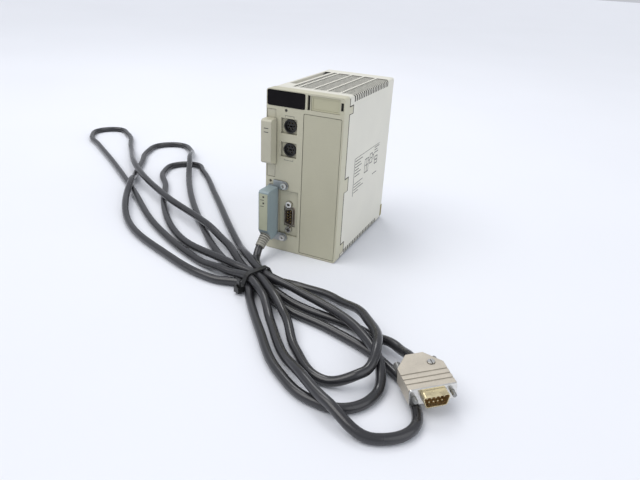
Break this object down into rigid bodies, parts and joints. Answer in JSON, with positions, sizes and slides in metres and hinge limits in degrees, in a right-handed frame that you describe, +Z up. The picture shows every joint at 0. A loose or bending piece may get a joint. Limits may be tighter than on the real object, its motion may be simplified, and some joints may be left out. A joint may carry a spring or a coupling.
{
  "type": "plc module",
  "caption": "Narrow rack PLC module: beige front bezel with display band, round sockets and D-shaped port, plug-in memory and communication cards, and a tied cable with a D-shaped plug",
  "frame": {"origin": "middle of the bottom of the case between the front face and the rear face, without the parts that stand out of them", "axes": "+X to the right seen from the front, +Y from the front face to the rear, +Z up"},
  "size_m": [0.6323, 0.4244, 0.151],
  "materials": {
    "case": "satin",
    "bezel": "satin",
    "window": "gloss",
    "digits": "gloss",
    "board": "satin",
    "blank_window": "satin",
    "blank_panel": "matte",
    "socket": "satin",
    "contact": "polished",
    "steel": "brushed",
    "nickel": "polished",
    "insulator": "matte",
    "guide": "matte",
    "chips": "matte",
    "capacitors": "satin",
    "battery": "satin",
    "olive_brass": "tarnished",
    "button": "matte",
    "cap": "satin",
    "hood": "satin",
    "label": "matte",
    "lights": "gloss",
    "relief": "satin",
    "cable": "satin",
    "tie": "satin",
    "plug_hood": "satin",
    "gold": "polished"
  },
  "bodies": {
    "root": {"rear_case": "case", "front_bezel": "bezel", "display_window": "window", "display_digits": "digits", "front_board": "board", "blank_window": "blank_window", "blank_panel": "blank_panel", "socket_lower": "socket", "socket_upper": "socket", "socket_contacts": "contact", "port_shell": "steel", "port_insert": "insulator", "port_pins": "contact", "port_nuts": "nickel", "card_guide": "guide", "main_board": "board", "main_chips": "chips", "capacitors": "capacitors", "battery": "battery", "back_plug": "insulator", "back_contacts": "contact", "ground_contact": "olive_brass", "locating_studs": "case"},
    "reset_button": {"reset_button": "button"},
    "memory_card": {"memory_board": "board", "memory_cap": "cap"},
    "comm_card": {"comm_board": "board", "comm_plate": "steel", "comm_hood": "hood", "comm_label": "label", "comm_lights": "lights", "strain_relief": "relief", "cable": "cable", "cable_tie": "tie", "plug_hood_lower": "plug_hood", "plug_hood_upper": "plug_hood", "plug_flange": "nickel", "plug_shell": "gold", "plug_insulator": "insulator", "plug_pins": "gold", "plug_cover_screws": "nickel"},
    "comm_screw_lower": {"comm_screw_lower": "nickel"},
    "comm_screw_upper": {"comm_screw_upper": "nickel"},
    "fixing_screw": {"fixing_screw": "steel"},
    "plug_screw_left": {"plug_screw_left": "steel"},
    "plug_screw_right": {"plug_screw_right": "steel"}
  },
  "joints": [
    {"name": "reset_press", "type": "slide", "parent": "root", "child": "reset_button", "axis": [0, 1, 0], "range_m": [0, 0.0012], "stiffness_N_per_m": 300},
    {"name": "memory_slide", "type": "slide", "parent": "root", "child": "memory_card", "axis": [0, -1, 0], "range_m": [0, 0.09]},
    {"name": "comm_slide", "type": "slide", "parent": "root", "child": "comm_card", "axis": [0, -1, 0], "range_m": [0, 0.085]},
    {"name": "comm_screw_lower_turn", "type": "hinge", "parent": "comm_card", "child": "comm_screw_lower", "pos_m": [-0.0172, -0.0625, 0.0147], "axis": [0, -1, 0], "continuous": true},
    {"name": "comm_screw_upper_turn", "type": "hinge", "parent": "comm_card", "child": "comm_screw_upper", "pos_m": [-0.0172, -0.0625, 0.0659], "axis": [0, -1, 0], "continuous": true},
    {"name": "fixing_screw_turn", "type": "hinge", "parent": "root", "child": "fixing_screw", "pos_m": [-0.0283, 0.05, 0.1467], "axis": [0, -1, 0], "continuous": true},
    {"name": "plug_screw_left_turn", "type": "hinge", "parent": "comm_card", "child": "plug_screw_left", "pos_m": [0.14307, -0.19948, 0.01291], "axis": [0.6018, -0.7986, 0], "continuous": true},
    {"name": "plug_screw_right_turn", "type": "hinge", "parent": "comm_card", "child": "plug_screw_right", "pos_m": [0.16296, -0.18449, 0.01509], "axis": [0.6018, -0.7986, 0], "continuous": true}
  ]
}
